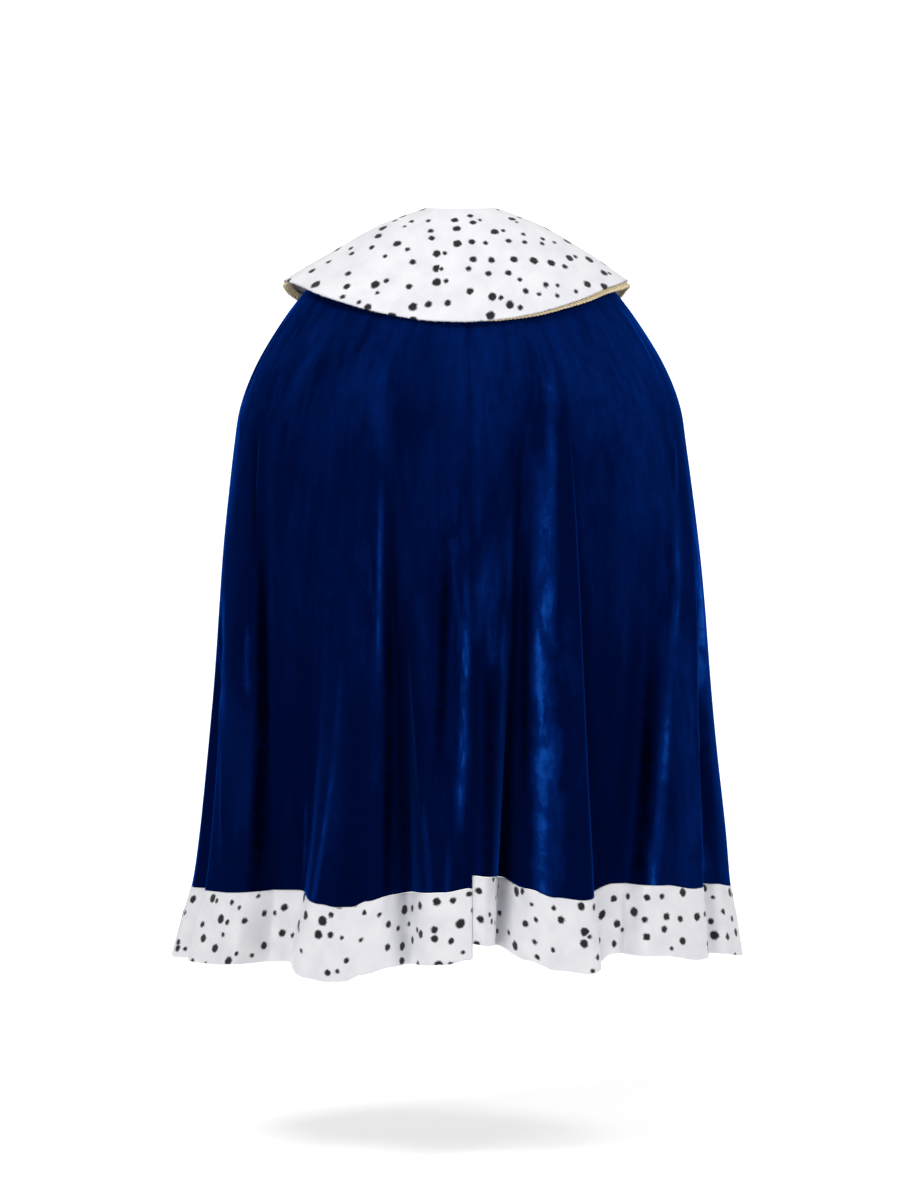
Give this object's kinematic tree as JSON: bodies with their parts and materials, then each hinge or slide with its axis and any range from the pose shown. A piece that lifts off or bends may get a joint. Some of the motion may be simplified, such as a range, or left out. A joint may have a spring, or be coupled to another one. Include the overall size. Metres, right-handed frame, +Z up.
{
  "type": "king cape",
  "caption": "Long velvet king's cape hanging in folds, with a broad spotted plush collar edged in gold braid, a spotted plush hem band and an open front hooked at the throat.",
  "frame": {"origin": "middle of the neck opening, level with the neck seam at the back, where the wearer's neck and shoulders hold the cape", "axes": "+Z up, +Y out of the open front, +X towards the wearer's right side"},
  "size_m": [0.9698, 0.4754, 1.2833],
  "materials": {
    "velvet": "crushed pile, soft sheen",
    "plush": "short white pile with black spots",
    "braid": "metallic gold thread",
    "wire": "plain"
  },
  "bodies": {
    "root": {"velvet_left": "velvet", "velvet_right": "velvet", "hem_band_left": "plush", "hem_band_right": "plush", "collar": "plush", "collar_braid": "braid", "throat_hook": "wire", "throat_eye": "wire"}
  },
  "joints": []
}
